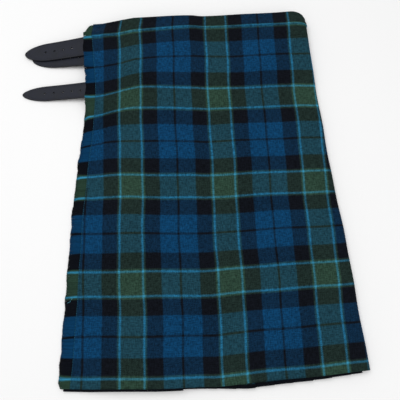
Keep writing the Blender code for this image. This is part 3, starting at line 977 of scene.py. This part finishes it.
def build_tab_stitches(spots):
    """Thread round each buckle's tab, on the side that lies toward the surface."""
    paths, places = [], []
    inset = 0.0028
    for x0, y0, bottom, way, start in spots:
        outline = rounded_box(start + inset, start + TAB_LENGTH - inset, TAB_WIDTH / 2 - inset, 0.0020)
        corners = np.array(outline + outline[:1])
        run = np.concatenate([[0], np.cumsum(np.hypot(*np.diff(corners, axis=0).T))])
        for begin in np.arange(0.0, run[-1] - STITCH, STITCH_PITCH):
            path = []
            for share in np.linspace(0.0, 1.0, 4):
                x = np.interp(begin + share * STITCH, run, corners[:, 0])
                y = np.interp(begin + share * STITCH, run, corners[:, 1])
                z = bottom + 0.00008 - 0.0002 * math.sin(math.pi * share)
                path.append((x0 + way * x, y0 + way * y, z))
            paths.append(path)
            places.append((0.0, begin))
    return strands("tab_stitches", paths, places, 0.00028, yarn_material("tab thread", (28, 29, 34)),
                   [])


def band_lean(x):
    """How far the waistband's check leans over, more toward its free edge."""
    return 0.02 + 0.13 * smooth((0.02 - x) / 0.16)


def build_kilt():
    wool = tartan("tartan twill")
    # The under-apron and the pleated back are darker copies of the same cloth, as painted shade, with a band
    # of painted shade along their hems
    turned = tartan("tartan twill, under-apron", 0.8, shaded_hem_from=UNDER_HEM - HEM_SHADE_DEPTH)
    shaded = tartan("tartan twill, pleated back", 0.8, shaded_hem_from=BACK_HEM - HEM_SHADE_DEPTH)
    black_weft = WEFT_GREEN + 0.034
    band = tartan("tartan twill, waistband", 1.0, black_weft)

    drops = np.linspace(0.0, LENGTH, APRON_ROWS)
    over = cloth("over_apron", over_apron_path, drops, wool)
    band_drops = np.linspace(0.0, WAISTBAND, 14)
    front = cloth("waistband_front", lambda at: over_apron_path(at, LAYER), band_drops, band,
                  lean=band_lean, roll=0.0009)
    under_drops = np.linspace(BACK_TOP, UNDER_HEM, UNDER_ROWS)
    under = cloth("under_apron", under_apron_path, under_drops, turned)
    back = cloth("pleated_back", pleated_path, np.linspace(BACK_TOP, BACK_HEM, PLEAT_ROWS), shaded,
                 rises_from=BACK_RISES_FROM)
    behind = cloth("waistband_back", waistband_back_path, np.linspace(BACK_TOP, WAISTBAND, 10), band,
                   rises_from=BACK_RISES_FROM)
    fringe = build_fringe()
    stitches = build_edge_stitches()
    threads = build_loose_threads()
    over_cut, under_cut, back_cut = cut_widths()

    for strap in STRAPS:
        build_strap(strap)
    steel = steel_material("satin steel")
    build_tab_stitches([build_buckle(buckle, steel) for buckle in BUCKLES])


# ---- The set ----

CAMERA_LENS = 41.95
CAMERA_SENSOR = 36.0
CAMERA_DISTANCE = 0.7306
CAMERA_ELEVATION = math.radians(75.01)
CAMERA_HEADING = math.radians(2.54)
CAMERA_TARGET = (-0.0107, -0.3304, 0.012)


def build_camera():
    data = bpy.data.cameras.new("camera")
    data.lens = CAMERA_LENS
    data.sensor_width = CAMERA_SENSOR
    camera = bpy.data.objects.new("camera", data)
    bpy.context.scene.collection.objects.link(camera)
    target = Vector((CAMERA_TARGET[0] + ORIGIN_X, CAMERA_TARGET[1] + ORIGIN_Y, CAMERA_TARGET[2]))
    level = math.cos(CAMERA_ELEVATION)
    ahead = Vector((math.sin(CAMERA_HEADING) * level, math.cos(CAMERA_HEADING) * level,
                    -math.sin(CAMERA_ELEVATION)))
    camera.location = target - ahead * CAMERA_DISTANCE
    camera.rotation_euler = ahead.to_track_quat("-Z", "Y").to_euler()
    bpy.context.scene.camera = camera


def build_light(name, place, size, energy):
    data = bpy.data.lights.new(name, "AREA")
    data.size = size
    data.energy = energy
    light = bpy.data.objects.new(name, data)
    light.location = place
    light.rotation_euler = (-Vector(place)).to_track_quat("-Z", "Y").to_euler()
    bpy.context.scene.collection.objects.link(light)


def build_set():
    """A plain pale floor and soft light from overhead and one side."""
    bpy.ops.mesh.primitive_plane_add(size=8.0)
    floor = bpy.context.object
    floor.name = "floor"
    nodes = Nodes("pale floor")
    nodes.finish(Base_Color=(0.90, 0.90, 0.90, 1.0), Roughness=0.9, Specular_IOR_Level=0.1)
    floor.data.materials.append(nodes.material)
    world = bpy.data.worlds.new("pale room")
    world.use_nodes = True
    world.node_tree.nodes["Background"].inputs[0].default_value = (1.0, 1.0, 1.0, 1.0)
    world.node_tree.nodes["Background"].inputs[1].default_value = 0.55
    bpy.context.scene.world = world
    build_light("overhead", (-0.5, 0.3, 1.9), 1.6, 22.0)
    build_light("side", (1.4, -1.0, 1.2), 1.2, 7.0)
    bpy.context.scene.view_settings.view_transform = "Standard"


build_kilt()
build_set()
build_camera()
